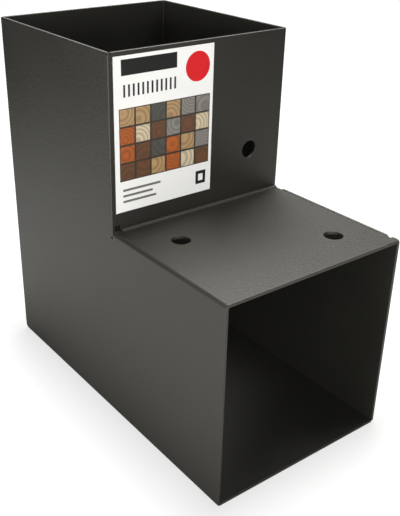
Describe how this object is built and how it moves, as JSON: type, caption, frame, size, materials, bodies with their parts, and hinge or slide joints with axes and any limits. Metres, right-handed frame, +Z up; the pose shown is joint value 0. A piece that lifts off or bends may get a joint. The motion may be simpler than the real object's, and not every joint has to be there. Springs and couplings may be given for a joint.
{
  "type": "corner post connector",
  "caption": "Right-angle sheet-steel connector with square open sleeves that join a timber post and a beam at a corner, folded, seam-welded and powder-coated.",
  "frame": {"origin": "on the base plane, under the middle of the bounding box", "axes": "+Z up along the post sleeve, out of its mouth; -Y along the beam sleeve, out of its mouth; +X across the width, to the right as seen from the beam sleeve's mouth"},
  "size_m": [0.1043, 0.1871, 0.187],
  "materials": {
    "powder_coat": "matt anthracite powder coat with a fine texture, on steel sheet",
    "label_paper": "white self-adhesive paper with plain printed fields"
  },
  "bodies": {
    "root": {"arm_folded_sheet": "powder_coat", "post_folded_sheet": "powder_coat", "weld_beads": "powder_coat", "paper_label": "label_paper"}
  },
  "joints": []
}
